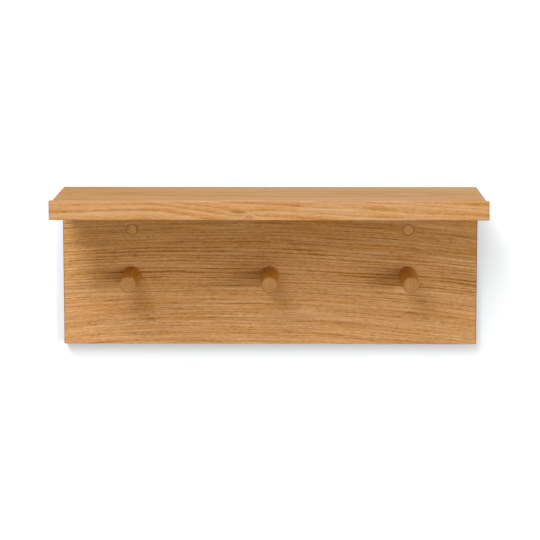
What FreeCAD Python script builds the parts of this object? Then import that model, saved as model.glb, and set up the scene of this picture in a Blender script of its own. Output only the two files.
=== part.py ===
"""Oak peg rail with a shelf, to be screwed to a wall.

A back panel lies flat on the wall. A shelf board is dowelled and glued on the panel's top edge, and a lip strip
along the shelf's front edge stands a little above it, so that small things don't roll off. Turned pegs that taper
towards their tips sit in blind holes of the panel on shouldered tenons. Above each outer peg a stepped bore takes a
wall screw, and a push-in plug that pulls straight out covers the screw's head.

X runs along the rail, from left to right as seen from the room. The wall's face is Y = 0 and the room is on the
-Y side. Z is up. The origin lies on the wall's face, midway between the two wall screws. All sizes are millimetres.
"""

import FreeCAD, Part
import math
import os

Vector = FreeCAD.Vector

# Rail as a whole
rail_width = 450.0
shelf_depth = 150.0  # from the wall to the front of the lip

# Back panel
panel_thickness = 16.0
panel_height = 155.0  # up to the shelf's underside

# Shelf and its lip
shelf_thickness = 16.0
lip_thickness = 8.0
lip_rise = 3.5  # how far the lip stands above the shelf

# Eased edges, as sandpaper leaves them
board_easing = 0.6
lip_easing = 0.6

# Pegs, from left to right
peg_names = ("peg_left", "peg_middle", "peg_right")
peg_end_distance = 75.0  # from a panel end to the centre of the peg next to it
peg_rise = 76.0  # from the panel's bottom edge to the pegs' centres
peg_projection = 65.0
peg_base_diameter = 19.5
peg_tip_diameter = 17.0
peg_tip_chamfer = 1.2
peg_hole_diameter = 12.0
peg_hole_floor = 4.0  # wood left behind a peg hole
tenon_chamfer = 1.0

# Wall screws, in line above the outer pegs, and their plugs
plug_names = ("cover_plug_left", "cover_plug_right")
screw_drop = 29.0  # from the panel's top edge down to the screws' centres
screw_hole_diameter = 5.0
screw_head_diameter = 9.0
plug_hole_diameter = 12.0
plug_hole_easing = 0.4
plug_length = 6.0
plug_head_gap = 1.0  # air between a plug and the screw head below it
plug_rim_chamfer = 0.6
plug_tail_chamfer = 0.8

# Dowels that hold the shelf on the panel
shelf_dowel_count = 5
shelf_dowel_diameter = 8.0
shelf_dowel_end_distance = 25.0  # from a panel end to the centre of the dowel next to it
shelf_dowel_cover = 5.5  # wood left between a dowel hole and the shelf's top
shelf_dowel_depth = 20.5  # of the hole in the panel

# Dowels that hold the lip on the shelf
lip_dowel_count = 5
lip_dowel_diameter = 6.0
lip_dowel_end_distance = 35.0
lip_dowel_cover = 3.5  # wood left between a dowel hole and the lip's front
lip_dowel_depth = 12.5  # of the hole in the shelf

# Flutes along every dowel, which let the glue out of its hole
flute_count = 18
flute_depth = 0.4
dowel_chamfer = 1.0

# Fits
glue_gap = 0.05  # around a dowel or a tenon, on the radius
plug_gap = 0.04  # around a cover plug, on the radius
blind_gap = 0.5  # between the end of a dowel or a tenon and the bottom of its hole
overrun = 1.0  # how far a cutting shape reaches past the face that it cuts
same_place = 0.0001

# Places that follow from the sizes
half_width = rail_width / 2
panel_top = screw_drop
panel_bottom = panel_top - panel_height
panel_front = -panel_thickness
shelf_top = panel_top + shelf_thickness
shelf_front = -shelf_depth
board_front = shelf_front + lip_thickness
lip_top = shelf_top + lip_rise
peg_line = panel_bottom + peg_rise
peg_hole_end = -peg_hole_floor


def spread(count, end_distance):
    """Returns count places along the rail, evenly spaced, the outer ones end_distance from its ends."""
    reach = half_width - end_distance
    return [reach * (2 * i / (count - 1) - 1) for i in range(count)]


peg_places = spread(len(peg_names), peg_end_distance)
screw_places = (peg_places[0], peg_places[-1])
shelf_dowel_places = spread(shelf_dowel_count, shelf_dowel_end_distance)
lip_dowel_places = spread(lip_dowel_count, lip_dowel_end_distance)


def board(low, high):
    """Returns the rectangular board between two opposite corners."""
    size = high - low
    return Part.makeBox(size.x, size.y, size.z, low)


def rod(diameter, start, end):
    """Returns the straight cylinder from one point to another."""
    run = end - start
    return Part.makeCylinder(diameter / 2, run.Length, start, run)


def turned(outline):
    """Returns the solid that a closed outline of (radius, y) points makes when it turns about the Y axis."""
    points = [Vector(radius, y, 0) for radius, y in outline]
    face = Part.Face(Part.makePolygon(points + points[:1]))
    return face.revolve(Vector(0, 0, 0), Vector(0, 1, 0), 360)


def moved(shape, place):
    """Returns a copy of the shape, shifted by place."""
    copy = shape.copy()
    copy.translate(place)
    return copy


def edges_in(shape, x=None, y=None, z=None):
    """Returns the edges that lie wholly in every plane whose coordinate is given."""

    def lies(low, high, value):
        return value is None or max(abs(low - value), abs(high - value)) < same_place

    return [
        edge
        for edge in shape.Edges
        if lies(edge.BoundBox.XMin, edge.BoundBox.XMax, x)
        and lies(edge.BoundBox.YMin, edge.BoundBox.YMax, y)
        and lies(edge.BoundBox.ZMin, edge.BoundBox.ZMax, z)
    ]


def eased(shape, radius, *planes):
    """Returns the shape with its edges in each given pair of planes rounded."""
    edges = [edge for pair in planes for edge in edges_in(shape, **pair)]
    return shape.makeFillet(radius, edges)


def screw_bore():
    """Returns the stepped cut for one wall screw: plug hole, cone for the screw's head, screw hole."""
    plug_radius = plug_hole_diameter / 2
    head_radius = screw_head_diameter / 2
    hole_radius = screw_hole_diameter / 2
    plug_floor = panel_front + plug_length + plug_head_gap
    cone_end = plug_floor + head_radius - hole_radius
    mouth_radius = plug_radius + plug_hole_easing
    return turned(
        [
            (0, panel_front - overrun),
            (mouth_radius + overrun, panel_front - overrun),
            (plug_radius, panel_front + plug_hole_easing),
            (plug_radius, plug_floor),
            (head_radius, plug_floor),
            (hole_radius, cone_end),
            (hole_radius, overrun),
            (0, overrun),
        ]
    )


def shelf_dowel_ends():
    """Returns the heights of a shelf dowel hole's two ends: the one in the panel and the one in the shelf."""
    return panel_top - shelf_dowel_depth, shelf_top - shelf_dowel_cover


def lip_dowel_ends():
    """Returns the Y of a lip dowel hole's two ends: the one in the lip and the one in the shelf."""
    return shelf_front + lip_dowel_cover, board_front + lip_dowel_depth


def shelf_dowel_holes():
    """Returns the holes for the shelf's dowels, through the joint between panel and shelf."""
    low, high = shelf_dowel_ends()
    middle = panel_front / 2
    return [rod(shelf_dowel_diameter, Vector(x, middle, low), Vector(x, middle, high)) for x in shelf_dowel_places]


def lip_dowel_holes():
    """Returns the holes for the lip's dowels, through the joint between shelf and lip."""
    front, back = lip_dowel_ends()
    middle = (panel_top + shelf_top) / 2
    return [rod(lip_dowel_diameter, Vector(x, front, middle), Vector(x, back, middle)) for x in lip_dowel_places]


def back_panel():
    """Returns the panel with its peg holes, screw bores and dowel holes."""
    body = board(Vector(-half_width, panel_front, panel_bottom), Vector(half_width, 0, panel_top))
    body = eased(
        body,
        board_easing,
        {"x": -half_width, "y": panel_front},
        {"x": half_width, "y": panel_front},
        {"y": panel_front, "z": panel_bottom},
        {"x": -half_width, "z": panel_bottom},
        {"x": half_width, "z": panel_bottom},
    )
    cuts = shelf_dowel_holes()
    for x in peg_places:
        mouth = Vector(x, panel_front - overrun, peg_line)
        cuts.append(rod(peg_hole_diameter, mouth, Vector(x, peg_hole_end, peg_line)))
    for x in screw_places:
        cuts.append(moved(screw_bore(), Vector(x, 0, 0)))
    return body.cut(cuts)


def shelf_board():
    """Returns the shelf, which reaches from the wall to the back of the lip, with its dowel holes."""
    body = board(Vector(-half_width, board_front, panel_top), Vector(half_width, 0, shelf_top))
    body = eased(
        body,
        board_easing,
        {"x": -half_width, "z": shelf_top},
        {"x": half_width, "z": shelf_top},
        {"x": -half_width, "z": panel_top},
        {"x": half_width, "z": panel_top},
    )
    return body.cut(shelf_dowel_holes() + lip_dowel_holes())


def front_lip():
    """Returns the lip strip with all its edges eased but those glued to the shelf, and its dowel holes."""
    body = board(Vector(-half_width, shelf_front, panel_top), Vector(half_width, board_front, lip_top))
    body = eased(
        body,
        lip_easing,
        {"y": shelf_front, "z": lip_top},
        {"y": board_front, "z": lip_top},
        {"y": shelf_front, "z": panel_top},
        {"x": -half_width, "y": shelf_front},
        {"x": half_width, "y": shelf_front},
        {"x": -half_width, "z": lip_top},
        {"x": half_width, "z": lip_top},
        {"x": -half_width, "z": panel_top},
        {"x": half_width, "z": panel_top},
    )
    return body.cut(lip_dowel_holes())


def peg(x):
    """Returns the peg at x: a chamfered tenon, a square shoulder on the panel and a tapering shank."""
    tenon_radius = peg_hole_diameter / 2 - glue_gap
    tenon_end = peg_hole_end - blind_gap
    tip = panel_front - peg_projection
    shape = turned(
        [
            (0, tenon_end),
            (tenon_radius - tenon_chamfer, tenon_end),
            (tenon_radius, tenon_end - tenon_chamfer),
            (tenon_radius, panel_front),
            (peg_base_diameter / 2, panel_front),
            (peg_tip_diameter / 2, tip + peg_tip_chamfer),
            (peg_tip_diameter / 2 - peg_tip_chamfer, tip),
            (0, tip),
        ]
    )
    return moved(shape, Vector(x, 0, peg_line))


def cover_plug(x):
    """Returns the plug over the wall screw at x, flush with the panel's front."""
    radius = plug_hole_diameter / 2 - plug_gap
    tail = panel_front + plug_length
    shape = turned(
        [
            (0, tail),
            (radius - plug_tail_chamfer, tail),
            (radius, tail - plug_tail_chamfer),
            (radius, panel_front + plug_rim_chamfer),
            (radius - plug_rim_chamfer, panel_front),
            (0, panel_front),
        ]
    )
    return moved(shape, Vector(x, 0, 0))


def skinned(rings):
    """Returns the flat-sided solid through rings of points, all with the same number of points, and its flat ends."""
    sides = [
        Part.Face(Part.makePolygon([a, b, d, c, a]))
        for low, high in zip(rings, rings[1:])
        for a, b, c, d in zip(low, low[1:] + low[:1], high, high[1:] + high[:1])
    ]
    ends = [Part.Face(Part.makePolygon(ring + ring[:1])) for ring in (rings[0], rings[-1])]
    return Part.Solid(Part.Shell(sides + ends))


def fluted_ring(radius, shrink_share, y):
    """Returns a dowel's outline at y: crests on the radius with a V-shaped flute between each two, all shrunk alike."""
    points = []
    for i in range(2 * flute_count):
        distance = (radius - flute_depth * (i % 2)) * shrink_share
        angle = math.pi * i / flute_count
        points.append(Vector(distance * math.sin(angle), y, distance * math.cos(angle)))
    return points


def dowel(hole_diameter, length):
    """Returns a fluted dowel along +Y from the origin, with tapered ends, for a hole of the given diameter."""
    radius = hole_diameter / 2 - glue_gap
    end_share = (radius - dowel_chamfer) / radius
    rings = [
        fluted_ring(radius, end_share, 0),
        fluted_ring(radius, 1, dowel_chamfer),
        fluted_ring(radius, 1, length - dowel_chamfer),
        fluted_ring(radius, end_share, length),
    ]
    return skinned(rings)


def shelf_dowels():
    """Returns the dowels between panel and shelf, which stand upright in the middle of the panel's thickness."""
    low, high = shelf_dowel_ends()
    upright = dowel(shelf_dowel_diameter, high - low - 2 * blind_gap)
    upright.rotate(Vector(0, 0, 0), Vector(1, 0, 0), 90)
    return [moved(upright, Vector(x, panel_front / 2, low + blind_gap)) for x in shelf_dowel_places]


def lip_dowels():
    """Returns the dowels between shelf and lip, which lie in the middle of the shelf's thickness."""
    front, back = lip_dowel_ends()
    level = dowel(lip_dowel_diameter, back - front - 2 * blind_gap)
    middle = (panel_top + shelf_top) / 2
    return [moved(level, Vector(x, front + blind_gap, middle)) for x in lip_dowel_places]


def rail_pieces():
    """Returns every piece of the rail by its name."""
    pieces = {"back_panel": back_panel(), "shelf_board": shelf_board(), "front_lip": front_lip()}
    for name, x in zip(peg_names, peg_places):
        pieces[name] = peg(x)
    for name, x in zip(plug_names, screw_places):
        pieces[name] = cover_plug(x)
    for i, shape in enumerate(shelf_dowels()):
        pieces[f"shelf_dowel_{i + 1}"] = shape
    for i, shape in enumerate(lip_dowels()):
        pieces[f"lip_dowel_{i + 1}"] = shape
    return pieces


os.makedirs("parts", exist_ok=True)
for name, shape in rail_pieces().items():
    if not shape.isValid() or len(shape.Solids) != 1:
        raise ValueError(f"{name} isn't one sound solid")
    shape.exportStep(os.path.join("parts", f"{name}.step"))
    print(f"{name}: {shape.Volume:.0f} mm3")
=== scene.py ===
"""Dresses the oak peg rail with its shelf, and sets up the studio and the camera that show it.

X runs along the rail, the room is on the -Y side of the wall and Z is up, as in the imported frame. The wood,
the pieces and the camera are given in millimetres, which MM turns to metres where a mesh or node takes them.
The studio and its lamps are given in metres.
"""

import logging
import math
from dataclasses import dataclass
from enum import Enum
from typing import Any

import bpy
from mathutils import Euler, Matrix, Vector


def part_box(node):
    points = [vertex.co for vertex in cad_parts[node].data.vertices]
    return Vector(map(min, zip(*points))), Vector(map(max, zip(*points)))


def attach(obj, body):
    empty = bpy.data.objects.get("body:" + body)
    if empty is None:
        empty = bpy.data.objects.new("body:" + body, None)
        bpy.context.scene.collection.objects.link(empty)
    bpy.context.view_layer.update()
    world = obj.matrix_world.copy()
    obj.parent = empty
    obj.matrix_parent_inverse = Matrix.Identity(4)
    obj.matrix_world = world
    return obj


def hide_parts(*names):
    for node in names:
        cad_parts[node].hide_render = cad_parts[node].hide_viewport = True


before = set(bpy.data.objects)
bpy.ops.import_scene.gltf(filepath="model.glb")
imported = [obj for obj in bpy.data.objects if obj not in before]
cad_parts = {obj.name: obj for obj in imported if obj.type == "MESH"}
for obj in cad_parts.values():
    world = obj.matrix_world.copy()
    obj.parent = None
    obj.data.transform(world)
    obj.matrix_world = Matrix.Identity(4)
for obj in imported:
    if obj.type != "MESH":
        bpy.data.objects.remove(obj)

MM = 0.001
CORE_SHARE = 0.3  # of the width of a seam or an arris, which is darkened in full

log = logging.getLogger("peg_rail")

Tree = bpy.types.NodeTree
Node = bpy.types.Node
Socket = bpy.types.NodeSocket
Material = bpy.types.Material
Triple = tuple[float, float, float]
Span = tuple[float, float, float, float]  # two values, and the two that they are mapped to


def linear(code: str) -> tuple[float, float, float, float]:
    """Turns an sRGB colour to linear light, by the curve of the sRGB standard.

    Args:
        code: the colour as "#rrggbb".

    Returns:
        Red, green, blue and an alpha of 1.
    """
    shares = [int(code[i : i + 2], 16) / 255 for i in (1, 3, 5)]
    red, green, blue = [s / 12.92 if s <= 0.04045 else ((s + 0.055) / 1.055) ** 2.4 for s in shares]
    return red, green, blue, 1.0


def add(
    tree: Tree,
    kind: str,
    wires: dict[int | str, Any] | None = None,
    stops: tuple[tuple[float, float | str], ...] = (),
    span: Span | tuple[()] = (),
    **settings: Any,
) -> Node:
    """Adds a node to a tree, sets it and links it.

    Args:
        tree: the tree of a material, the world or a shape.
        kind: the node's type.
        wires: for each input, by name or index, a value, a socket, or a node whose first output feeds it.
        stops: the places on a colour ramp, each with its grey or its hex colour.
        span: what a Map Range node maps from and to.
        settings: the node's own properties.

    Returns:
        The new node.
    """
    node = tree.nodes.new(kind)
    for name, value in settings.items():
        setattr(node, name, value)
    for key, value in (wires or {}).items():
        source = value.outputs[0] if isinstance(value, Node) else value
        if isinstance(source, Socket):
            tree.links.new(source, node.inputs[key])
        else:
            node.inputs[key].default_value = source
    for i, (place, tone) in enumerate(stops):
        element = node.color_ramp.elements[i] if i < 2 else node.color_ramp.elements.new(place)
        element.position = place
        element.color = linear(tone) if isinstance(tone, str) else (tone, tone, tone, 1.0)
    for key, value in zip(("From Min", "From Max", "To Min", "To Max"), span):
        node.inputs[key].default_value = value
    return node


def blank(name: str) -> tuple[Material, Tree]:
    """Starts a material.

    Args:
        name: the material's name.

    Returns:
        The material, and its tree, which is empty.
    """
    material = bpy.data.materials.new(name)
    material.use_nodes = True
    material.node_tree.nodes.clear()
    return material, material.node_tree


class Grain(Enum):
    """The way a piece's fibres run. The value turns the log's length, its own X, onto that way."""

    ALONG_RAIL = (0.0, 0.0, 0.0)
    OUT_OF_WALL = (0.0, 0.0, math.pi / 2)
    UPRIGHT = (0.0, math.pi / 2, 0.0)


@dataclass(frozen=True)
class Knot:
    """A knot or a swell that the rings flow round, seen on a face that looks into the room."""

    x: float
    z: float
    length: float
    height: float
    push: float  # how far it bends the rings: away from itself above 0, into an eye or an arch below 0
    darkness: float = 0.0
    heart_share: float = 0.4  # of the knot's size, for its dark heart


@dataclass(frozen=True)
class Streak:
    """Noise that is drawn out along the log."""

    length: float
    width: float
    detail: float  # the noise's octaves
    shift: float  # a place in the noise of its own, so that no two streaks are alike
    span: Span | None = None  # what the noise is mapped from and to, where it isn't used as it is


@dataclass(frozen=True)
class Log:
    """The log that a piece was cut from, and how it lay in it."""

    pith: Triple  # a point of the log's centre line, in the rail's frame
    ring_width: float
    seed: float
    wander: float  # how far the slow bends of the fibres reach
    waver: float = 0.8  # how far the small waves in them do
    waver_length: float = 48.0
    grain: Grain = Grain.ALONG_RAIL
    sweep: float = 0.0  # how far the centre line drops a reach away from the pith point
    reach: float = 225.0
    taper_share: float = 0.0  # how fast the rings widen along the log
    spells_per_ring: float = 0.37  # how soon narrow rings follow wide ones
    spell_swing: float = 2.4  # how far that shifts the lines, in rings
    vigour_share: float = 0.0  # how much stronger some years' lines are than others'
    vigour_per_ring: float = 0.07  # how soon that changes
    vigour_seed: float = 0.0
    knots: tuple[Knot, ...] = ()


@dataclass(frozen=True)
class OakTones:
    """Colours of oiled oak, from an open pore to the palest late wood."""

    pore: str = "#8f5f31"
    early: str = "#b07c4a"
    body: str = "#c49161"
    late: str = "#d19f70"
    pale: str = "#e2b890"


@dataclass(frozen=True)
class PaintedRingShade:
    """A ring of painted shade, in the gap round a plug or a peg, and on the rounded rim of a peg's tip."""

    centre: Triple
    radius: float
    width: float
    left_share: float  # of the wood's brightness, in the seam itself


@dataclass(frozen=True)
class PaintedShade:
    """Painted shade: the wood's colour deepens between two places on an axis, towards the end."""

    axis: Triple
    start: float
    end: float
    tint: str  # what the wood's colour is multiplied with at the end


@dataclass(frozen=True)
class OiledOak:
    """Oak, planed or turned, sanded and rubbed with hard-wax oil.

    Oak is ring-porous: each year starts with a band of open pores, which a long cut shows as a thin dark line
    broken into dashes. Between the lines the ground is honey-coloured, with fibre streaks, and short flecks
    where the cut meets the rays. The oil deepens the pores and the end grain, and leaves a satin sheen and no
    coat on top. Pores 0.3 mm wide and fibres 0.2 mm wide are too fine to show, so they are drawn 0.6 mm and
    0.7 mm wide.
    """

    name: str
    log: Log
    tones: OakTones = OakTones()
    line_strength: float = 0.45
    fibre_strength: float = 0.75
    fuzz_strength: float = 0.8
    band_strength: float = 0.4
    pore_strength: float = 0.3
    fleck_strength: float = 0.12
    honey_strength: float = 0.2  # how much deeper the orange of some streaks is
    fibre_streak: Streak = Streak(length=60.0, width=1.4, detail=3.0, shift=3.0)
    fuzz_streak: Streak = Streak(length=5.0, width=0.7, detail=1.0, shift=5.0)
    band_streak: Streak = Streak(length=190.0, width=9.0, detail=2.0, shift=7.0)
    break_streak: Streak = Streak(length=70.0, width=2.5, detail=2.0, shift=11.0, span=(0.35, 0.6, 0.4, 1.0))
    pore_streak: Streak = Streak(length=14.0, width=0.6, detail=1.0, shift=17.0, span=(0.52, 0.66, 0.0, 1.0))
    honey_streak: Streak = Streak(length=75.0, width=3.5, detail=2.0, shift=23.0)
    fleck_length: float = 7.0
    flecks_per_radian: float = 70.0
    flecks_per_ring: float = 0.3
    fleck_span: Span = (0.58, 0.72, 0.0, 1.0)
    spring_share: float = 0.4  # of the year, over which a line fades out
    onset_share: float = 0.85  # of the year, where the next line sets in
    line_average: float = 0.2  # how much of the face the lines cover
    pores_between: float = 0.35  # how much of the pores shows between the lines
    pores_in_lines: float = 0.8  # how much more of them shows in the lines
    pore_depth: float = 0.12
    relief: float = 0.35
    roughness: float = 0.62
    roughness_swing: float = 0.08  # dark and open wood is rougher than pale and dense wood
    gloss: float = 0.1
    ior: float = 1.46
    end_tint: str = "#e0d6c8"  # what end grain, which takes more oil, multiplies the tones with
    # what faces along the grain multiply the tones with; on the pegs their deeper amber is partly painted
    # shade
    side_tint_and_shade: str = "#ffffff"
    end_span: Span = (0.5, 0.95, 0.0, 1.0)  # how squarely a face must cut the fibres to count as end grain
    # painted shade, deeper under the shelf
    painted_shade: PaintedShade | None = None
    board: tuple[Vector, Vector] | None = None  # a board's box, beside whose ends the arrises darken: partly the end grain's oil, partly painted shade
    arris_width: float = 1.0
    arris_share: float = 0.8
    painted_ring_shades: tuple[PaintedRingShade, ...] = ()

    def make(self) -> Material:
        """Builds the material.

        Returns:
            The finished material.
        """
        material, tree = blank(self.name)
        where = add(tree, "ShaderNodeTexCoord")
        place = where.outputs["Object"]
        trunk = self.in_trunk(tree, place)
        years, season = self.rings(tree, trunk, place)
        # A line is darkest as the year starts and fades over the spring. The next sets in late in the year.
        spring = self.spring_share
        year = ((0.0, 1.0), (0.4 * spring, 0.7), (spring, 0.0), (self.onset_share, 0.0), (1.0, 1.0))
        lines = add(tree, "ShaderNodeValToRGB", {0: season}, stops=year)
        fibres = self.streaks(tree, trunk, self.fibre_streak)
        fuzz = self.streaks(tree, trunk, self.fuzz_streak)
        bands = self.streaks(tree, trunk, self.band_streak)
        breaks = self.streaks(tree, trunk, self.break_streak)
        pores = self.streaks(tree, trunk, self.pore_streak)
        honey = self.streaks(tree, trunk, self.honey_streak)
        flecks = self.flecks(tree, trunk, years)
        lines = add(tree, "ShaderNodeMath", {0: lines, 1: breaks}, operation="MULTIPLY")
        if self.log.vigour_share:
            lines = self.vigour(tree, years, lines)
        shown = {0: lines, 1: self.pores_in_lines, 2: self.pores_between}
        pore_amount = add(tree, "ShaderNodeMath", shown, operation="MULTIPLY_ADD")
        open_pores = add(tree, "ShaderNodeMath", {0: pores, 1: pore_amount}, operation="MULTIPLY")

        # Each pattern, how much it lightens the tone, and its average, taken off so that the mean stays 0.5.
        steps = [
            (fibres, self.fibre_strength, 0.5),
            (fuzz, self.fuzz_strength, 0.5),
            (bands, self.band_strength, 0.5),
            (lines, -self.line_strength, self.line_average),
            (open_pores, -self.pore_strength, 0.1),
            (flecks, -self.fleck_strength, 0.1),
        ]
        for knot in self.log.knots:
            if knot.darkness:
                heart = self.bell(tree, place, knot, knot.heart_share)
                steps.append((heart, -knot.darkness, 0.0))
        tone = 0.5 - sum(strength * average for _, strength, average in steps)
        for part, strength, _ in steps:
            tone = add(tree, "ShaderNodeMath", {0: part, 1: strength, 2: tone}, operation="MULTIPLY_ADD")
        tones = (self.tones.pore, self.tones.early, self.tones.body, self.tones.late, self.tones.pale)
        ramp = tuple(zip((0.0, 0.25, 0.5, 0.75, 1.0), tones))
        plain = add(tree, "ShaderNodeValToRGB", {0: tone}, stops=ramp)
        deeper = {0: honey, 1: self.honey_strength, 2: 1.0 - self.honey_strength / 2}
        depth = add(tree, "ShaderNodeMath", deeper, operation="MULTIPLY_ADD")
        colour = add(tree, "ShaderNodeHueSaturation", {"Saturation": depth, "Color": plain})
        tinted = {"Factor": 1.0, "A": colour, "B": self.shade(tree, where)}
        dressed = add(tree, "ShaderNodeMix", tinted, data_type="RGBA", blend_type="MULTIPLY")
        roughest, smoothest = self.roughness + self.roughness_swing, self.roughness - self.roughness_swing
        rough = add(tree, "ShaderNodeMapRange", {0: tone}, span=(0.1, 0.9, roughest, smoothest))
        height = add(tree, "ShaderNodeMath", {0: fibres, 1: open_pores}, operation="SUBTRACT")
        relief = {"Height": height, "Strength": self.relief, "Distance": self.pore_depth * MM}
        surface = {
            "Base Color": dressed.outputs["Result"],
            "Roughness": rough,
            "Normal": add(tree, "ShaderNodeBump", relief),
            "IOR": self.ior,
            "Specular IOR Level": self.gloss,
        }
        shader = add(tree, "ShaderNodeBsdfPrincipled", surface)
        add(tree, "ShaderNodeOutputMaterial", {"Surface": shader})
        return material

    def in_trunk(self, tree: Tree, place: Socket) -> Node:
        """Turns a place on the piece to one in its log.

        Args:
            tree: the material's tree.
            place: the Object coordinates.

        Returns:
            The node of the place in the log, with X along it and the bends of the fibres taken out.
        """
        pith = [value * MM for value in self.log.pith]
        lying = {"Vector": place, "Location": pith, "Rotation": self.log.grain.value}
        in_log = add(tree, "ShaderNodeMapping", lying, vector_type="TEXTURE")
        bends = Streak(length=230.0, width=45.0, detail=1.5, shift=1.0)
        waves = Streak(length=self.log.waver_length, width=9.0, detail=1.5, shift=5.0)
        bent = in_log
        for streak, swing in ((bends, self.log.wander), (waves, self.log.waver)):
            noise = self.streaks(tree, in_log, streak).outputs["Color"]
            centred = add(tree, "ShaderNodeVectorMath", {0: noise, 1: (0.5, 0.5, 0.5)}, operation="SUBTRACT")
            moved = {0: centred, 1: (0.0, 2 * swing * MM, 2 * swing * MM), 2: bent}
            bent = add(tree, "ShaderNodeVectorMath", moved, operation="MULTIPLY_ADD")
        x, y, z = add(tree, "ShaderNodeSeparateXYZ", {0: bent}).outputs
        run = add(tree, "ShaderNodeMath", {0: x, 1: self.log.reach * MM}, operation="DIVIDE")
        squared = add(tree, "ShaderNodeMath", {0: run, 1: run}, operation="MULTIPLY")
        drop = self.log.sweep * MM
        level = add(tree, "ShaderNodeMath", {0: squared, 1: drop, 2: z}, operation="MULTIPLY_ADD")
        return add(tree, "ShaderNodeCombineXYZ", {"X": x, "Y": y, "Z": level})

    def streaks(self, tree: Tree, place: Node, streak: Streak) -> Node:
        """Makes noise that is drawn out along the log.

        Args:
            tree: the material's tree.
            place: the node of the place in the log.
            streak: what the noise is like.

        Returns:
            The noise node, or the node that maps the noise.
        """
        scale = (1 / (streak.length * MM), 1 / (streak.width * MM), 1 / (streak.width * MM))
        shift = (self.log.seed + streak.shift, self.log.seed - streak.shift, streak.shift)
        spot = add(tree, "ShaderNodeVectorMath", {0: place, 1: scale, 2: shift}, operation="MULTIPLY_ADD")
        look = {"Vector": spot, "Scale": 1.0, "Detail": streak.detail, "Roughness": 0.6}
        noise = add(tree, "ShaderNodeTexNoise", look)
        return add(tree, "ShaderNodeMapRange", {0: noise}, span=streak.span) if streak.span else noise

    def rings(self, tree: Tree, trunk: Node, place: Socket) -> tuple[Node, Node]:
        """Counts the year rings outward from the pith.

        Args:
            tree: the material's tree.
            trunk: the node of the place in the log.
            place: the Object coordinates.

        Returns:
            The node of the rings from the pith to there, and the node of the time of year, from spring on.
        """
        across = add(tree, "ShaderNodeVectorMath", {0: trunk, 1: (0.0, 1.0, 1.0)}, operation="MULTIPLY")
        radius = add(tree, "ShaderNodeVectorMath", {0: across}, operation="LENGTH").outputs["Value"]
        run = add(tree, "ShaderNodeSeparateXYZ", {0: trunk}).outputs["X"]
        taper = self.log.taper_share
        radius = add(tree, "ShaderNodeMath", {0: run, 1: taper, 2: radius}, operation="MULTIPLY_ADD")
        for knot in self.log.knots:
            pushed = {0: self.bell(tree, place, knot, 1.0), 1: knot.push * MM, 2: radius}
            radius = add(tree, "ShaderNodeMath", pushed, operation="MULTIPLY_ADD")
        years = add(tree, "ShaderNodeMath", {0: radius, 1: self.log.ring_width * MM}, operation="DIVIDE")
        look = {"W": years, "Scale": self.log.spells_per_ring, "Detail": 2.0, "Roughness": 0.6}
        spells = add(tree, "ShaderNodeTexNoise", look, noise_dimensions="1D")
        swing = self.log.spell_swing
        uneven = add(tree, "ShaderNodeMath", {0: spells, 1: swing, 2: years}, operation="MULTIPLY_ADD")
        season = add(tree, "ShaderNodeMath", {0: uneven}, operation="FRACT")
        return years, season

    def vigour(self, tree: Tree, years: Node, lines: Node) -> Node:
        """Makes the lines of some groups of years stronger than those of others.

        Args:
            tree: the material's tree.
            years: the node of the rings from the pith to there.
            lines: the node of the lines.

        Returns:
            The node of the lines with their new strength, which leaves the wood's mean tone as it is.
        """
        spells = {0: years, 1: self.log.vigour_per_ring, 2: self.log.vigour_seed}
        shifted = add(tree, "ShaderNodeMath", spells, operation="MULTIPLY_ADD")
        look = {"W": shifted, "Scale": 1.0, "Detail": 1.0, "Roughness": 0.5}
        noise = add(tree, "ShaderNodeTexNoise", look, noise_dimensions="1D")
        share, mean = self.log.vigour_share, self.line_average
        strength = add(tree, "ShaderNodeMapRange", {0: noise}, span=(0.3, 0.7, 1.0 - share, 1.0 + share))
        above = add(tree, "ShaderNodeMath", {0: lines, 1: mean}, operation="SUBTRACT")
        return add(tree, "ShaderNodeMath", {0: above, 1: strength, 2: mean}, operation="MULTIPLY_ADD")

    def bell(self, tree: Tree, place: Socket, knot: Knot, share: float) -> Node:
        """Makes a bell round a knot.

        Args:
            tree: the material's tree.
            place: the Object coordinates.
            knot: the knot.
            share: the bell's size as a share of the knot's.

        Returns:
            The node of the bell, 1 at the knot's middle and fading to 0.
        """
        length, height = share * knot.length, share * knot.height
        scale = (1 / (length * MM), 0.0, 1 / (height * MM))
        shift = (-knot.x / length, 0.0, -knot.z / height)
        off = add(tree, "ShaderNodeVectorMath", {0: place, 1: scale, 2: shift}, operation="MULTIPLY_ADD")
        square = add(tree, "ShaderNodeVectorMath", {0: off, 1: off}, operation="DOT_PRODUCT").outputs["Value"]
        less = add(tree, "ShaderNodeMath", {0: square, 1: -1.0}, operation="MULTIPLY")
        return add(tree, "ShaderNodeMath", {0: less}, operation="EXPONENT")

    def flecks(self, tree: Tree, trunk: Node, years: Node) -> Node:
        """Makes the ray flecks, thin plates that stand out from the pith like spokes.

        Args:
            tree: the material's tree.
            trunk: the node of the place in the log.
            years: the node of the rings from the pith to there.

        Returns:
            The node of how much of a ray the cut meets, from 0 to 1.
        """
        x, y, z = add(tree, "ShaderNodeSeparateXYZ", {0: trunk}).outputs
        turn = add(tree, "ShaderNodeMath", {0: z, 1: y}, operation="ARCTAN2")
        spoke = add(tree, "ShaderNodeMath", {0: turn, 1: self.flecks_per_radian}, operation="MULTIPLY")
        run = add(tree, "ShaderNodeMath", {0: x, 1: self.fleck_length * MM}, operation="DIVIDE")
        out = add(tree, "ShaderNodeMath", {0: years, 1: self.flecks_per_ring}, operation="MULTIPLY")
        polar = add(tree, "ShaderNodeCombineXYZ", {"X": run, "Y": spoke, "Z": out})
        look = {"Vector": polar, "Scale": 1.0, "Detail": 1.0, "Roughness": 0.5}
        noise = add(tree, "ShaderNodeTexNoise", look)
        return add(tree, "ShaderNodeMapRange", {0: noise}, span=self.fleck_span)

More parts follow.
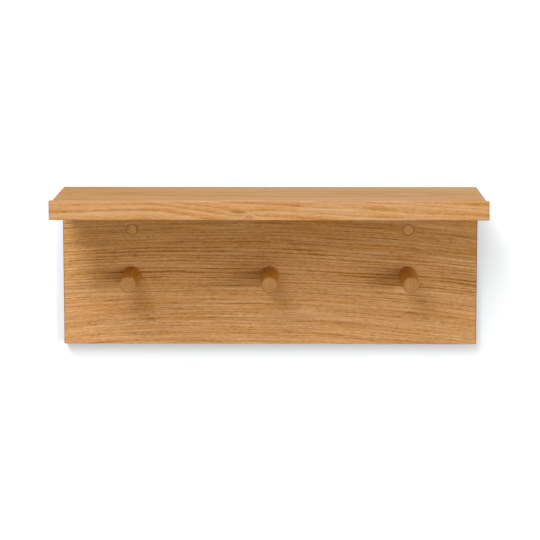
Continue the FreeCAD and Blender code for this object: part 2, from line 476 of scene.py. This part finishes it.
    def shade(self, tree: Tree, where: Node) -> Node:
        """Tints end grain deeper, and paints shade round plugs and pegs, under the shelf, and partly on end
        arrises and peg sides.

        Args:
            tree: the material's tree.
            where: the texture coordinate node.

        Returns:
            The node of the colour that multiplies the wood's own.
        """
        along = Vector((1.0, 0.0, 0.0))
        along.rotate(Euler(self.log.grain.value))
        normal = where.outputs["Normal"]
        facing = add(tree, "ShaderNodeVectorMath", {0: normal, 1: along}, operation="DOT_PRODUCT")
        size = add(tree, "ShaderNodeMath", {0: facing.outputs["Value"]}, operation="ABSOLUTE")
        end = add(tree, "ShaderNodeMapRange", {0: size}, span=self.end_span)
        tint = add(tree, "ShaderNodeValToRGB", {0: end}, stops=((0.0, self.side_tint_and_shade), (1.0, self.end_tint)))
        place = where.outputs["Object"]
        shares = [self.seam(tree, place, line) for line in self.painted_ring_shades]
        if self.painted_shade:
            shares.append(self.painted_shade_colour(tree, place))
        if self.board:
            shares.append(self.arris_oil_and_shade(tree, place))
        for share in shares:
            tint = add(tree, "ShaderNodeVectorMath", {0: tint, 1: share}, operation="MULTIPLY")
        return tint

    def painted_shade_colour(self, tree: Tree, place: Socket) -> Node:
        """Deepens the colour along the axis, as painted shade.

        Args:
            tree: the material's tree.
            place: the Object coordinates.

        Returns:
            The node of the colour that multiplies the wood's own.
        """
        painted_shade = self.painted_shade
        product = add(tree, "ShaderNodeVectorMath", {0: place, 1: painted_shade.axis}, operation="DOT_PRODUCT")
        span = (painted_shade.start * MM, painted_shade.end * MM, 0.0, 1.0)
        share = add(tree, "ShaderNodeMapRange", {0: product.outputs["Value"]}, span=span)
        return add(tree, "ShaderNodeValToRGB", {0: share}, stops=((0.0, "#ffffff"), (1.0, painted_shade.tint)))

    def arris_oil_and_shade(self, tree: Tree, place: Socket) -> Node:
        """Darkens a board for a narrow width beside its two ends: partly the oil that end grain takes, partly
        painted shade on the eased edges.

        Args:
            tree: the material's tree.
            place: the Object coordinates.

        Returns:
            The node of the share of the brightness that is left.
        """
        low, high = self.board
        middle, half = (low + high) / 2, (high - low) / 2
        centred = add(tree, "ShaderNodeVectorMath", {0: place, 1: middle}, operation="SUBTRACT")
        size = add(tree, "ShaderNodeVectorMath", {0: centred}, operation="ABSOLUTE")
        run = add(tree, "ShaderNodeSeparateXYZ", {0: size}).outputs["X"]
        width = self.arris_width * MM
        span = (half.x - width, half.x - CORE_SHARE * width, 1.0, self.arris_share)
        return add(tree, "ShaderNodeMapRange", {0: run}, span=span)

    def seam(self, tree: Tree, place: Socket, line: PaintedRingShade) -> Node:
        """Darkens a ring round a plug or a peg with painted shade.

        Args:
            tree: the material's tree.
            place: the Object coordinates.
            line: the ring of painted shade.

        Returns:
            The node of the share of the brightness that is left.
        """
        centre = [value * MM for value in line.centre]
        centred = add(tree, "ShaderNodeVectorMath", {0: place, 1: centre}, operation="SUBTRACT")
        depth = add(tree, "ShaderNodeSeparateXYZ", {0: centred}).outputs["Y"]
        flat = add(tree, "ShaderNodeVectorMath", {0: centred, 1: (1.0, 0.0, 1.0)}, operation="MULTIPLY")
        radius = add(tree, "ShaderNodeVectorMath", {0: flat}, operation="LENGTH").outputs["Value"]
        off = add(tree, "ShaderNodeMath", {0: radius, 1: line.radius * MM}, operation="SUBTRACT")
        section = add(tree, "ShaderNodeCombineXYZ", {"X": off, "Y": depth})
        distance = add(tree, "ShaderNodeVectorMath", {0: section}, operation="LENGTH").outputs["Value"]
        width = line.width * MM
        span = (CORE_SHARE * width, width, line.left_share, 1.0)
        return add(tree, "ShaderNodeMapRange", {0: distance}, span=span)


@dataclass(frozen=True)
class BareBeech:
    """Beech dowel rod, fluted by rolling and left bare: pale pinkish wood with many short darker flecks."""

    name: str = "beech_rolled_fluted_bare"
    ground: str = "#d9b78e"
    fleck: str = "#b98a5d"
    fleck_length: float = 0.9
    fleck_depth: float = 0.1
    relief: float = 0.3
    roughness: float = 0.7

    def make(self) -> Material:
        """Builds the material.

        Returns:
            The finished material.
        """
        material, tree = blank(self.name)
        place = add(tree, "ShaderNodeTexCoord").outputs["Object"]
        look = {"Vector": place, "Scale": 1 / (self.fleck_length * MM), "Detail": 3.0, "Roughness": 0.55}
        grain = add(tree, "ShaderNodeTexNoise", look)
        colour = add(tree, "ShaderNodeValToRGB", {0: grain}, stops=((0.38, self.fleck), (0.6, self.ground)))
        relief = {"Height": grain, "Strength": self.relief, "Distance": self.fleck_depth * MM}
        bump = add(tree, "ShaderNodeBump", relief)
        surface = {"Base Color": colour, "Roughness": self.roughness, "Normal": bump}
        shader = add(tree, "ShaderNodeBsdfPrincipled", surface)
        add(tree, "ShaderNodeOutputMaterial", {"Surface": shader})
        return material


@dataclass(frozen=True)
class Corner:
    """A corner of a turned outline. Each field names an input of the lathe's tree, and None stands for 0."""

    radius: str | None
    along: str
    rounding: str | None = None


@dataclass(frozen=True)
class Lathe:
    """Turns an outline about an axis that points out of the wall, as a tree of Geometry Nodes."""

    name: str
    corners: tuple[Corner, ...]
    segments: int = 96
    rounding_steps: int = 6
    sharp_from: float = math.radians(35.0)  # the angle from which an edge isn't smooth
    merge_distance: float = 0.005  # closes the seam and the poles

    def tree(self) -> Tree:
        """Builds the tree.

        Returns:
            The tree, with an input for every size that the corners name, the centre and the material.
        """
        tree = bpy.data.node_groups.new(self.name, "GeometryNodeTree")
        tree.interface.new_socket("Geometry", in_out="OUTPUT", socket_type="NodeSocketGeometry")
        names = [name for c in self.corners for name in (c.radius, c.along, c.rounding) if name]
        kinds = dict.fromkeys(names, "Float")
        kinds |= {"Centre": "Vector", "Segments": "Int", "Rounding steps": "Int", "Material": "Material"}
        for name, kind in kinds.items():
            tree.interface.new_socket(name, in_out="INPUT", socket_type=f"NodeSocket{kind}")
        given = add(tree, "NodeGroupInput")
        body = self.revolved(tree, given, self.outline(tree, given))
        real = add(tree, "GeometryNodeRealizeInstances", {"Geometry": body})
        finish = {"Geometry": real, "Material": given.outputs["Material"]}
        dressed = add(tree, "GeometryNodeSetMaterial", finish)
        add(tree, "NodeGroupOutput", {"Geometry": dressed})
        return tree

    def outline(self, tree: Tree, given: Node) -> Node:
        """Draws the outline with its rounded corners.

        Args:
            tree: the lathe's tree.
            given: the node of the tree's inputs.

        Returns:
            The node of the outline, whose points hold the radius in X and the place along the axis in Y.
        """
        count = len(self.corners)
        index = add(tree, "GeometryNodeInputIndex")
        picks = []
        for choice in ("radius", "along", "rounding"):
            pick = add(tree, "GeometryNodeIndexSwitch", data_type="FLOAT")
            while len(pick.index_switch_items) < count:
                pick.index_switch_items.new()
            tree.links.new(index.outputs[0], pick.inputs["Index"])
            for i, corner in enumerate(self.corners):
                name = getattr(corner, choice)
                if name:
                    tree.links.new(given.outputs[name], pick.inputs[i + 1])
            picks.append(pick)
        line = add(tree, "GeometryNodeMeshLine", {"Count": count})
        point = add(tree, "ShaderNodeCombineXYZ", {"X": picks[0], "Y": picks[1]})
        placed = add(tree, "GeometryNodeSetPosition", {"Geometry": line, "Position": point})
        curve = add(tree, "GeometryNodeMeshToCurve", {"Mesh": placed})
        steps = given.outputs["Rounding steps"]
        rounded = {"Curve": curve, "Radius": picks[2], "Count": steps, "Limit Radius": True}
        return add(tree, "GeometryNodeFilletCurve", rounded, mode="POLY")

    def revolved(self, tree: Tree, given: Node, outline: Node) -> Node:
        """Turns the outline into a closed body.

        It starts as a grid, 1 m by 1 m about the origin, whose X becomes one turn and whose Y the outline.

        Args:
            tree: the lathe's tree.
            given: the node of the tree's inputs.
            outline: the node of the outline.

        Returns:
            The node of the body, smooth all over but at its sharp edges.
        """
        domain = add(tree, "GeometryNodeAttributeDomainSize", {0: outline}, component="CURVE")
        count = domain.outputs["Point Count"]
        around = add(tree, "ShaderNodeMath", {0: given.outputs["Segments"], 1: 1.0}, operation="ADD")
        size = {"Size X": 1.0, "Size Y": 1.0, "Vertices X": around, "Vertices Y": count}
        grid = add(tree, "GeometryNodeMeshGrid", size)
        spot = add(tree, "GeometryNodeInputPosition")
        grid_x, grid_y, _ = add(tree, "ShaderNodeSeparateXYZ", {0: spot}).outputs
        last = add(tree, "ShaderNodeMath", {0: count, 1: 1.0}, operation="SUBTRACT")
        share = add(tree, "ShaderNodeMath", {0: grid_y, 1: 0.5}, operation="ADD")
        step = add(tree, "ShaderNodeMath", {0: share, 1: last}, operation="MULTIPLY")
        number = add(tree, "ShaderNodeMath", {0: step}, operation="ROUND")
        drawn = {"Geometry": outline, "Value": spot, "Index": number}
        sample = add(tree, "GeometryNodeSampleIndex", drawn, data_type="FLOAT_VECTOR", domain="POINT")
        radius, along, _ = add(tree, "ShaderNodeSeparateXYZ", {0: sample}).outputs
        turn = add(tree, "ShaderNodeMath", {0: grid_x, 1: 2 * math.pi}, operation="MULTIPLY")
        cosine = add(tree, "ShaderNodeMath", {0: turn}, operation="COSINE")
        sine = add(tree, "ShaderNodeMath", {0: turn}, operation="SINE")
        x = add(tree, "ShaderNodeMath", {0: radius, 1: cosine}, operation="MULTIPLY")
        z = add(tree, "ShaderNodeMath", {0: radius, 1: sine}, operation="MULTIPLY")
        point = add(tree, "ShaderNodeCombineXYZ", {"X": x, "Y": along, "Z": z})
        turned = {"Geometry": grid, "Position": point, "Offset": given.outputs["Centre"]}
        placed = add(tree, "GeometryNodeSetPosition", turned)
        closeness = self.merge_distance * MM
        closed = add(tree, "GeometryNodeMergeByDistance", {"Geometry": placed, "Distance": closeness})
        smooth = add(tree, "GeometryNodeSetShadeSmooth", {"Geometry": closed, "Shade Smooth": True})
        angle = add(tree, "GeometryNodeInputMeshEdgeAngle").outputs["Unsigned Angle"]
        sharp = add(tree, "ShaderNodeMath", {0: angle, 1: self.sharp_from}, operation="GREATER_THAN")
        edges = {"Geometry": smooth, "Selection": sharp, "Shade Smooth": False}
        return add(tree, "GeometryNodeSetShadeSmooth", edges, domain="EDGE")

    def turn(
        self, tree: Tree, name: str, sizes: dict[str, float], centre: Vector, material: Material
    ) -> bpy.types.Object:
        """Makes one turned piece as a plain mesh.

        Args:
            tree: the lathe's tree.
            name: the piece's name.
            sizes: the value of each input that the corners name, in metres.
            centre: where the axis is.
            material: the piece's finish.

        Returns:
            The piece, with its place in its mesh.
        """
        piece = bpy.data.objects.new(name, bpy.data.meshes.new(name))
        bpy.context.scene.collection.objects.link(piece)
        modifier = piece.modifiers.new(self.name, "NODES")
        modifier.node_group = tree
        values: dict[str, Any] = {**sizes, "Centre": centre, "Material": material}
        values |= {"Segments": self.segments, "Rounding steps": self.rounding_steps}
        for item in tree.interface.items_tree:
            if item.item_type == "SOCKET" and item.in_out == "INPUT":
                modifier[item.identifier] = values[item.name]
        depsgraph = bpy.context.evaluated_depsgraph_get()
        mesh = bpy.data.meshes.new_from_object(piece.evaluated_get(depsgraph), depsgraph=depsgraph)
        mesh.name = name
        piece.modifiers.remove(modifier)
        piece.data = mesh
        log.info("%s: %s, %d faces", name, material.name, len(mesh.polygons))
        return piece


def dress(node: str, material: Material) -> None:
    """Gives a CAD node its finish.

    Args:
        node: the node's name.
        material: the finish.
    """
    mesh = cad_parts[node].data
    mesh.materials.clear()
    mesh.materials.append(material)
    log.info("%s: %s, %d faces", node, material.name, len(mesh.polygons))


@dataclass
class Boards:
    """The panel on the wall, the shelf on its top edge and the lip along the shelf's front."""

    # Painted shade in the gaps round the plugs and the pegs' shoulders.
    seam_width: float = 0.9
    plug_seam_share: float = 0.74
    peg_seam_share: float = 0.85
    panel_log: Log = Log(
        pith=(-60.0, 60.0, -190.0),
        ring_width=3.1,
        sweep=11.0,
        wander=4.0,
        seed=3.0,
        vigour_share=0.32,
        vigour_seed=11.7,
    )
    shelf_log: Log = Log(
        pith=(40.0, -60.0, -20.0), ring_width=3.6, sweep=5.0, wander=6.0, waver=0.6, seed=21.0
    )
    lip_log: Log = Log(
        pith=(-120.0, -128.0, 15.0),
        ring_width=4.6,
        sweep=1.5,
        taper_share=0.028,
        wander=4.0,
        waver=1.0,
        waver_length=78.0,
        seed=43.0,
        # A long swell, where the lines arch upwards, the knot, and an eye that one ring closes round.
        knots=(
            Knot(x=-118.0, z=38.0, length=58.0, height=60.0, push=-4.6),
            Knot(x=-31.0, z=37.4, length=15.0, height=3.6, push=2.6, darkness=2.0, heart_share=0.32),
            Knot(x=-20.0, z=33.0, length=4.5, height=2.6, push=-4.6),
        ),
    )

    def seams(self) -> tuple[PaintedRingShade, ...]:
        """Returns the rings of painted shade round the plugs and the pegs on the panel's front."""
        lines = []
        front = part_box("back_panel")[0].y / MM
        shares = dict.fromkeys(CoverPlugs.names, self.plug_seam_share)
        shares |= dict.fromkeys(Pegs.names, self.peg_seam_share)
        for node, share in shares.items():
            low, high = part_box(node)
            middle = (low + high) / (2 * MM)
            radius = (high.x - low.x) / (2 * MM)
            lines.append(PaintedRingShade((middle.x, front, middle.z), radius, self.seam_width, share))
        return tuple(lines)

    def build(self) -> None:
        """Dresses the three boards, whose shapes are the frame's own."""
        panel = OiledOak(
            "oak_panel_planed_oiled",
            self.panel_log,
            # The panel's end arrises carry more painted shade than the other boards'.
            board=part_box("back_panel"),
            arris_width=1.4,
            arris_share=0.6,
            line_strength=0.44,
            fibre_strength=1.0,
            fuzz_strength=0.95,
            band_strength=0.6,
            pore_strength=0.15,
            honey_strength=0.26,
            # Painted shade: the panel's colour deepens towards its top, under the shelf.
            painted_shade=PaintedShade(axis=(0.0, 0.0, 1.0), start=-100.0, end=29.0, tint="#ffffed"),
            painted_ring_shades=self.seams(),
        )
        shelf = OiledOak(
            "oak_shelf_planed_oiled",
            self.shelf_log,
            board=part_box("shelf_board"),
            tones=OakTones("#94632f", "#a0703c", "#ad7f49", "#b78958", "#c29565"),
            line_strength=0.25,
            fibre_strength=0.45,
            fuzz_strength=0.5,
            band_strength=0.3,
            honey_strength=0.05,
            gloss=0.07,
        )
        lip = OiledOak(
            "oak_lip_planed_oiled",
            self.lip_log,
            board=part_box("front_lip"),
            tones=OakTones("#98662f", "#ac7a48", "#b6895e", "#be946c", "#c79f7a"),
            fibre_strength=0.8,
            fuzz_strength=0.75,
            honey_strength=0.38,
            spring_share=0.65,
        )
        dress("back_panel", panel.make())
        dress("shelf_board", shelf.make())
        dress("front_lip", lip.make())


@dataclass
class Pegs:
    """The three turned pegs, each a tapered shank with a shoulder on the panel and a tenon in it."""

    names: tuple[str, ...] = ("peg_left", "peg_middle", "peg_right")
    seeds: tuple[float, ...] = (60.0, 67.0, 74.0)
    pith_turns: tuple[float, ...] = (45.0, 0.0, 4.0)  # degrees from +X to where each peg's pith lay
    line_strengths: tuple[float, ...] = (0.4, 0.25, 0.25)
    pith_distance: float = 60.0
    ring_width: float = 1.9
    tip_diameter: float = 17.0
    tip_rounding: float = 1.3
    rim_width: float = 1.0
    rim_share: float = 0.8
    tenon_diameter: float = 11.9
    tenon_rounding: float = 1.0
    lathe: Lathe = Lathe(
        "Peg lathe",
        (
            Corner(None, "Tenon end"),
            Corner("Tenon radius", "Tenon end", "Tenon rounding"),
            Corner("Tenon radius", "Shoulder"),
            Corner("Base radius", "Shoulder"),
            Corner("Tip radius", "Tip", "Tip rounding"),
            Corner(None, "Tip"),
        ),
    )

    def build(self) -> None:
        """Turns the pegs in their places and dresses them."""
        tree = self.lathe.tree()
        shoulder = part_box("back_panel")[0].y
        for i, name in enumerate(self.names):
            low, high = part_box(name)
            middle = (low + high) / 2
            x, y, z = (value / MM for value in middle)
            turn = math.radians(self.pith_turns[i])
            pith = (x + self.pith_distance * math.cos(turn), y, z + self.pith_distance * math.sin(turn))
            # Painted shade on the rounded rim of the tip.
            rim = PaintedRingShade((x, low.y / MM, z), self.tip_diameter / 2, self.rim_width, self.rim_share)
            oak = OiledOak(
                f"oak_{name}_turned_oiled",
                Log(pith, self.ring_width, self.seeds[i], wander=1.0, waver=0.3, grain=Grain.OUT_OF_WALL),
                line_strength=self.line_strengths[i],
                fibre_strength=0.3,
                fuzz_strength=0.35,
                pore_strength=0.15,
                end_tint="#dbd7cb",
                # Deeper amber sides, partly painted shade for the shade the pegs hang in under the shelf.
                side_tint_and_shade="#f7e696",
                painted_ring_shades=(rim,),
            )
            sizes = {
                "Tenon end": high.y,
                "Tenon radius": self.tenon_diameter / 2 * MM,
                "Tenon rounding": self.tenon_rounding * MM,
                "Shoulder": shoulder,
                "Base radius": (high.x - low.x) / 2,
                "Tip radius": self.tip_diameter / 2 * MM,
                "Tip": low.y,
                "Tip rounding": self.tip_rounding * MM,
            }
            centre = Vector((middle.x, 0.0, middle.z))
            piece = self.lathe.turn(tree, f"turned_{name}", sizes, centre, oak.make())
            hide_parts(name)
            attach(piece, "rail")


@dataclass
class CoverPlugs:
    """The two plugs over the wall screws, cut across a board so that their faces show long grain."""

    names: tuple[str, ...] = ("cover_plug_left", "cover_plug_right")
    bodies: tuple[str, ...] = ("left_plug", "right_plug")
    seeds: tuple[float, ...] = (90.0, 95.0)
    pith_right: float = 30.0  # of the plug
    pith_depth: float = 20.0  # behind the wall's face
    ring_width: float = 2.6
    rim_rounding: float = 0.5
    tail_rounding: float = 0.8
    seam_width: float = 0.9
    seam_share: float = 0.72
    lathe: Lathe = Lathe(
        "Plug lathe",
        (
            Corner(None, "Tail"),
            Corner("Radius", "Tail", "Tail rounding"),
            Corner("Radius", "Face", "Rim rounding"),
            Corner(None, "Face"),
        ),
        segments=72,
    )

    def build(self) -> None:
        """Turns the plugs in their places and dresses them."""
        tree = self.lathe.tree()
        for i, name in enumerate(self.names):
            low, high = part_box(name)
            middle = (low + high) / 2
            x, z, radius = middle.x / MM, middle.z / MM, (high.x - low.x) / 2
            pith = (x + self.pith_right, self.pith_depth, z)
            # Painted shade in the gap round the plug, on its rim.
            rim = PaintedRingShade((x, low.y / MM, z), radius / MM, self.seam_width, self.seam_share)
            oak = OiledOak(
                f"oak_{name}_cut_oiled",
                Log(pith, self.ring_width, self.seeds[i], wander=1.0, waver=0.3, grain=Grain.UPRIGHT),
                tones=OakTones("#9c6838", "#bd884e", "#d29c66", "#dfaa74", "#edc194"),
                line_strength=0.1,
                fibre_strength=0.4,
                pore_strength=0.1,
                painted_ring_shades=(rim,),
            )
            sizes = {
                "Tail": high.y,
                "Radius": radius,
                "Tail rounding": self.tail_rounding * MM,
                "Face": low.y,
                "Rim rounding": self.rim_rounding * MM,
            }
            centre = Vector((middle.x, 0.0, middle.z))
            piece = self.lathe.turn(tree, f"turned_{name}", sizes, centre, oak.make())
            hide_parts(name)
            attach(piece, self.bodies[i])


@dataclass
class Dowels:
    """The fluted dowels inside the joints, which only show when the rail is taken apart."""

    prefixes: tuple[str, ...] = ("shelf_dowel_", "lip_dowel_")

    def build(self) -> None:
        """Dresses every dowel, whose shape is the frame's own."""
        beech = BareBeech().make()
        for name in sorted(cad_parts):
            if name.startswith(self.prefixes):
                dress(name, beech)


@dataclass(frozen=True)
class Softbox:
    """A square studio lamp that points at the middle of the rail."""

    name: str
    place: Triple
    size: float
    power: float
    colour: str = "#f4faff"

    def build(self) -> None:
        """Hangs the lamp."""
        data = bpy.data.lights.new(self.name, "AREA")
        data.shape = "SQUARE"
        data.size = self.size
        data.energy = self.power
        data.color = linear(self.colour)[:3]
        lamp = bpy.data.objects.new(self.name, data)
        bpy.context.scene.collection.objects.link(lamp)
        lamp.location = self.place
        lamp.rotation_mode = "QUATERNION"
        lamp.rotation_quaternion = (-Vector(self.place)).to_track_quat("-Z", "Y")
        lamp.visible_camera = False


@dataclass
class Studio:
    """A pale wall that takes the rail's shadows, a pale floor well below it, and soft lamps."""

    wall_gap: float = 0.3 * MM
    wall_half_width: float = 14.0
    wall_top: float = 9.0
    floor_level: float = -1.4
    floor_depth: float = 14.0
    cove_radius: float = 0.5
    cove_steps: int = 16
    paint: str = "#f2f2f2"
    paint_roughness: float = 0.5
    glow: str = "#506486"
    far_glow: str = "#f4f4f4"  # beyond the lamps' reach, so that the paint stays white there
    near_reach: float = 0.8  # from the rail, where the glow starts to change
    far_reach: float = 2.6
    ambient: float = 0.395
    warmth: str = "#ffeba6"
    lamps: tuple[Softbox, ...] = (
        Softbox("top_softbox", (-0.58, -1.48, 2.05), 1.8, 68.5),
        Softbox("front_softbox", (-0.6, -2.22, 1.15), 0.7, 17.2),
        Softbox("side_softbox", (1.45, -2.16, 0.1), 1.05, 27.0),
        Softbox("rear_softbox", (0.3, 2.6, 0.0), 1.2, 20.0, "#ffffff"),
    )

    def build(self) -> None:
        """Builds the stage, the world and the lamps."""
        self.build_backdrop()
        self.build_world()
        for lamp in self.lamps:
            lamp.build()
        log.info("studio: %d lamps", len(self.lamps))

    def build_backdrop(self) -> None:
        """Makes the wall and the floor, joined by a cove."""
        radius = self.cove_radius
        y, z = self.wall_gap - radius, self.floor_level + radius
        turns = [-math.pi / 2 * i / self.cove_steps for i in range(self.cove_steps + 1)]
        cove = [(y + radius * math.cos(turn), z + radius * math.sin(turn)) for turn in turns]
        profile = [(self.wall_gap, self.wall_top), *cove, (-self.floor_depth, self.floor_level)]
        points = [(x, y, z) for y, z in profile for x in (-self.wall_half_width, self.wall_half_width)]
        faces = [(2 * i, 2 * i + 2, 2 * i + 3, 2 * i + 1) for i in range(len(profile) - 1)]
        mesh = bpy.data.meshes.new("studio_backdrop")
        mesh.from_pydata(points, [], faces)
        mesh.shade_smooth()
        mesh.materials.append(self.backdrop_paint())
        backdrop = bpy.data.objects.new("studio_backdrop", mesh)
        bpy.context.scene.collection.objects.link(backdrop)
        backdrop.visible_shadow = backdrop.visible_diffuse = backdrop.visible_glossy = False

    def backdrop_paint(self) -> Material:
        """Makes the backdrop's matt white paint, which takes shadows and has no sheen of its own.

        Its back is clear, so that the rail shows from behind too.

        Returns:
            The finished material.
        """
        material, tree = blank("matt_white_paint")
        matt = {"Color": linear(self.paint), "Roughness": self.paint_roughness}
        diffuse = add(tree, "ShaderNodeBsdfDiffuse", matt)
        place = add(tree, "ShaderNodeTexCoord").outputs["Object"]
        reach = add(tree, "ShaderNodeVectorMath", {0: place}, operation="LENGTH").outputs["Value"]
        span = (self.near_reach, self.far_reach, 0.0, 1.0)
        far = add(tree, "ShaderNodeMapRange", {0: reach}, span=span, interpolation_type="SMOOTHSTEP")
        light = add(tree, "ShaderNodeValToRGB", {0: far}, stops=((0.0, self.glow), (1.0, self.far_glow)))
        glow = add(tree, "ShaderNodeEmission", {"Color": light, "Strength": self.beside_panel(tree, place)})
        front = add(tree, "ShaderNodeAddShader", {0: diffuse, 1: glow})
        clear = add(tree, "ShaderNodeBsdfTransparent")
        side = add(tree, "ShaderNodeNewGeometry")
        both = add(tree, "ShaderNodeMixShader", {0: side.outputs["Backfacing"], 1: front, 2: clear})
        add(tree, "ShaderNodeOutputMaterial", {"Surface": both})
        return material

    def beside_panel(self, tree: Tree, place: Socket) -> Node:
        """Keeps the glow off the wall behind the panel, so that the open screw holes are dark inside.

        Args:
            tree: the paint's tree.
            place: the Object coordinates.

        Returns:
            The node that is 0 behind the panel and 1 beside it.
        """
        low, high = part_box("back_panel")
        off = add(tree, "ShaderNodeVectorMath", {0: place, 1: (low + high) / 2}, operation="SUBTRACT")
        size = add(tree, "ShaderNodeVectorMath", {0: off}, operation="ABSOLUTE")
        past = add(tree, "ShaderNodeVectorMath", {0: size, 1: (high - low) / 2}, operation="SUBTRACT")
        x, _, z = add(tree, "ShaderNodeSeparateXYZ", {0: past}).outputs
        most = add(tree, "ShaderNodeMath", {0: x, 1: z}, operation="MAXIMUM")
        return add(tree, "ShaderNodeMath", {0: most, 1: 0.0}, operation="GREATER_THAN")

    def build_world(self) -> None:
        """Makes the room's even light, which the camera and the sheen see as white."""
        world = bpy.data.worlds.new("studio_room")
        bpy.context.scene.world = world
        world.use_nodes = True
        tree = world.node_tree
        tree.nodes.clear()
        rays = add(tree, "ShaderNodeLightPath")
        seen = rays.outputs["Is Camera Ray"]
        for kind in ("Is Glossy Ray", "Is Transmission Ray"):
            seen = add(tree, "ShaderNodeMath", {0: seen, 1: rays.outputs[kind]}, operation="MAXIMUM")
        room = add(tree, "ShaderNodeBackground", {"Color": linear(self.warmth), "Strength": self.ambient})
        white = add(tree, "ShaderNodeBackground", {"Color": (1.0, 1.0, 1.0, 1.0), "Strength": 1.0})
        either = add(tree, "ShaderNodeMixShader", {0: seen, 1: room, 2: white})
        add(tree, "ShaderNodeOutputWorld", {"Surface": either})


@dataclass(frozen=True)
class Camera:
    """The photograph's view: from well in front of the rail, and a little above it."""

    place: Triple = (20.7, -2260.5, 323.9)
    pitch: float = 7.093  # degrees downward
    yaw: float = -0.529  # degrees to the right
    lens: float = 139.22
    sensor: float = 36.0
    shift_share: float = -0.15  # keeps the upright edges nearly parallel, as the photograph has them

    def build(self) -> None:
        """Sets up the camera."""
        data = bpy.data.cameras.new("photograph")
        data.lens = self.lens
        data.sensor_width = self.sensor
        data.shift_y = self.shift_share
        camera = bpy.data.objects.new("photograph", data)
        bpy.context.scene.collection.objects.link(camera)
        camera.location = [value * MM for value in self.place]
        camera.rotation_euler = (math.radians(90 - self.pitch), 0.0, math.radians(-self.yaw))
        bpy.context.scene.camera = camera


def main() -> None:
    """Dresses the rail, sets up the studio and the camera, and logs each piece's finish and faces."""
    logging.basicConfig(level=logging.INFO, format="%(name)s %(message)s")
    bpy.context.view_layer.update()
    Boards().build()
    Pegs().build()
    CoverPlugs().build()
    Dowels().build()
    Studio().build()
    Camera().build()
    bpy.context.scene.view_settings.view_transform = "Standard"


if __name__ == "__main__":
    main()
